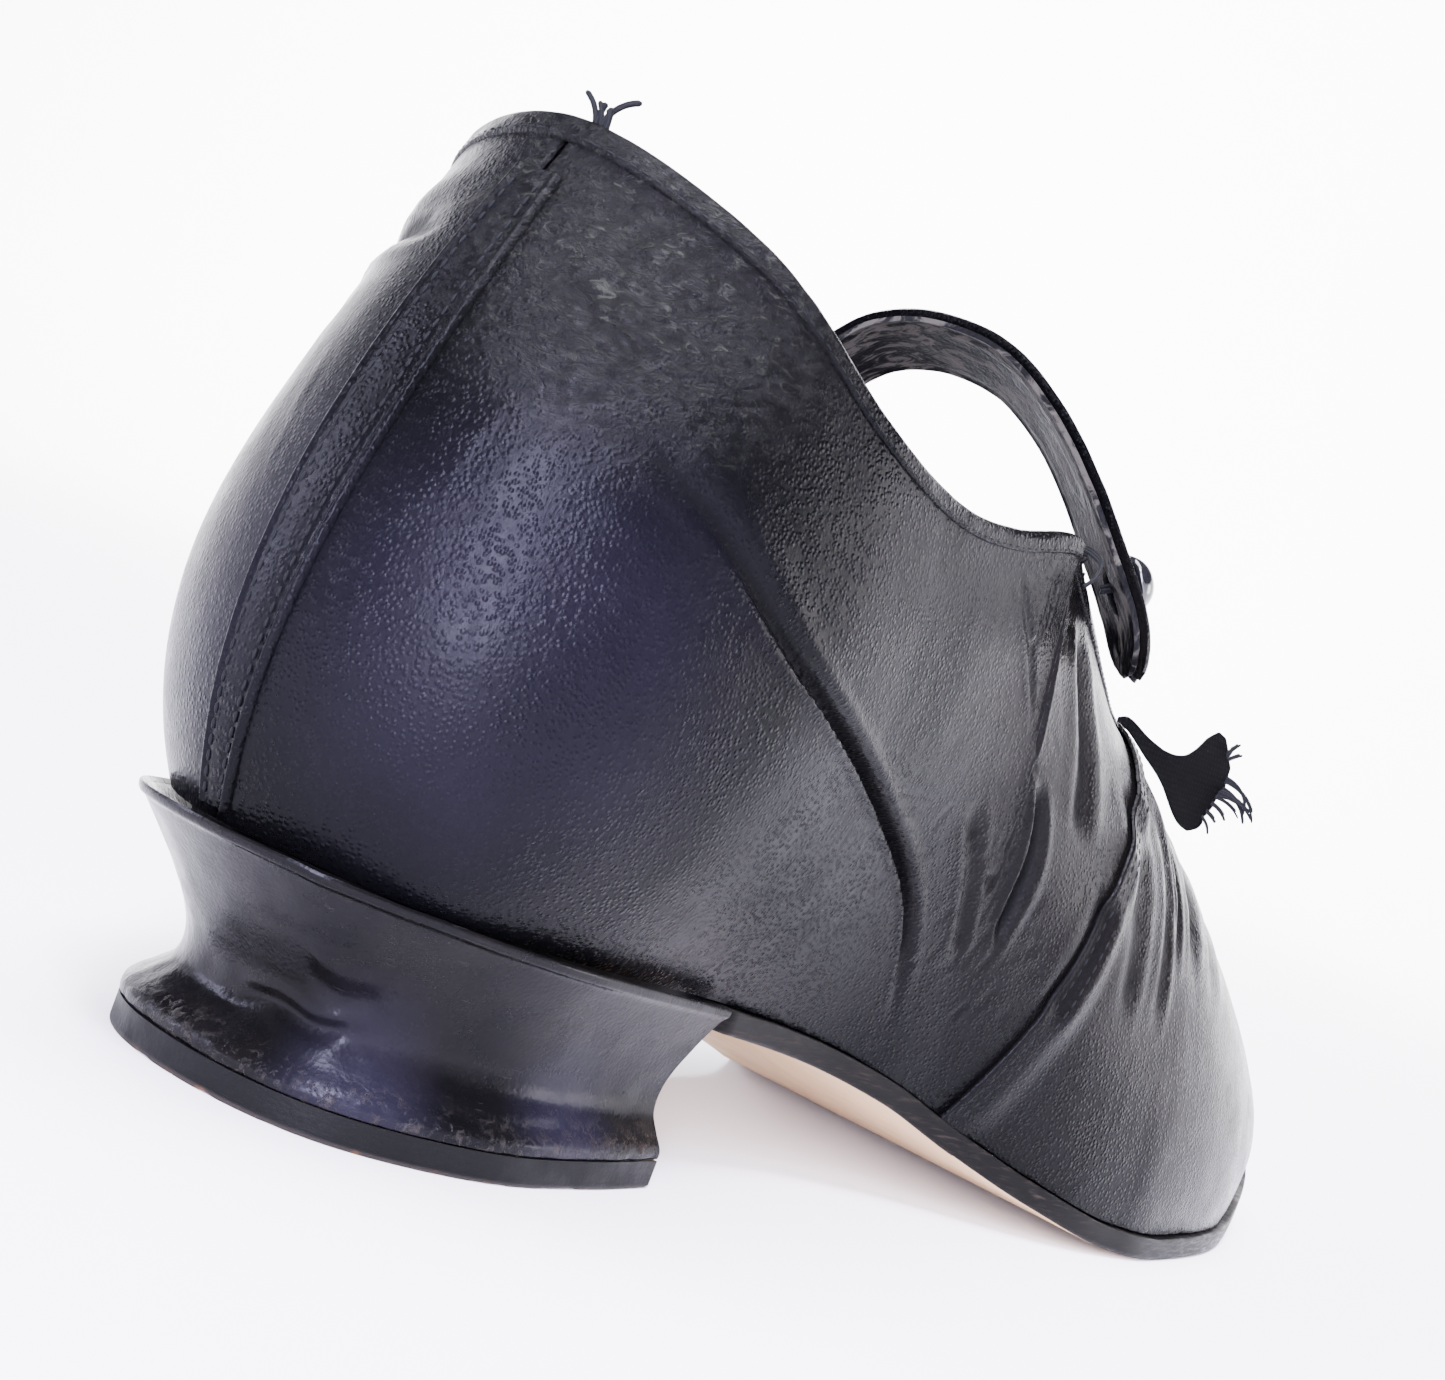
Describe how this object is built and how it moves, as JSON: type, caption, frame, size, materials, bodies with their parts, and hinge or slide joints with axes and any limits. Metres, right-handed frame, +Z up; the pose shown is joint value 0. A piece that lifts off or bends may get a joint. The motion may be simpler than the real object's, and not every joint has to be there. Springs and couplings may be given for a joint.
{
  "type": "one-bar button shoe",
  "caption": "Black leather one-bar shoe for the right foot with a low covered heel, a strap that buttons on the outer side and a plain tan leather sole.",
  "frame": {"origin": "centre of the heel's ground face, on the surface the shoe stands on", "axes": "+X to the toe, +Y to the inner (medial) side of the right foot, +Z up"},
  "size_m": [0.2624, 0.0836, 0.1155],
  "materials": {
    "black_leather": "glossy fine-grained glace kid, creased",
    "heel_cover_leather": "glossy smooth leather, scuffed at the ground edge",
    "lining_leather": "matt dark lining leather, worn",
    "sole_leather": "smooth tan sole leather, black edge",
    "top_piece_leather": "worn brown leather with a burnt dark rim",
    "fibre_board": "matt pressed board",
    "cork_filler": "matt granulated cork",
    "heel_wood": "raw turned wood",
    "steel": "dull steel",
    "button_gloss": "polished black",
    "black_thread": "waxed thread",
    "ribbon_cloth": "matt ribbon with a frayed end"
  },
  "bodies": {
    "shoe": {"vamp": "black_leather", "quarter_lateral": "black_leather", "quarter_medial": "black_leather", "back_strip": "black_leather", "topline_binding": "black_leather", "heel_cover": "heel_cover_leather", "heel_breast_cover": "heel_cover_leather", "vamp_lining": "lining_leather", "quarter_lining_lateral": "lining_leather", "quarter_lining_medial": "lining_leather", "sock_lining": "lining_leather", "outsole": "sole_leather", "top_piece": "top_piece_leather", "insole": "fibre_board", "heel_counter": "fibre_board", "toe_puff": "fibre_board", "forepart_filler": "cork_filler", "heel_block": "heel_wood", "shank": "steel", "top_piece_nail_1": "steel", "top_piece_nail_2": "steel", "top_piece_nail_3": "steel", "top_piece_nail_4": "steel", "top_piece_nail_5": "steel", "top_piece_nail_6": "steel", "top_piece_nail_7": "steel", "top_piece_nail_8": "steel", "top_piece_nail_9": "steel", "heel_nail_1": "steel", "heel_nail_2": "steel", "heel_nail_3": "steel", "heel_nail_4": "steel", "heel_nail_5": "steel", "button_thread": "black_thread"},
    "strap": {"strap": "black_leather", "strap_lining": "lining_leather"},
    "button": {"button": "button_gloss", "button_shank": "black_thread"},
    "ribbon": {"ribbon_tab": "ribbon_cloth"}
  },
  "joints": [
    {"name": "strap_fold", "type": "hinge", "parent": "shoe", "child": "strap", "pos_m": [0.074, 0.0285, 0.0925], "axis": [-1, 0, 0], "range_deg": [0, 125]},
    {"name": "button_tilt", "type": "hinge", "parent": "shoe", "child": "button", "pos_m": [0.07655, -0.02998, 0.08759], "axis": [0.7252, 0.5471, -0.418], "range_deg": [-8, 8]},
    {"name": "ribbon_flop", "type": "hinge", "parent": "shoe", "child": "ribbon", "pos_m": [0.1215, -0.0159, 0.0718], "axis": [0, 0, 1], "range_deg": [-12, 8]}
  ]
}
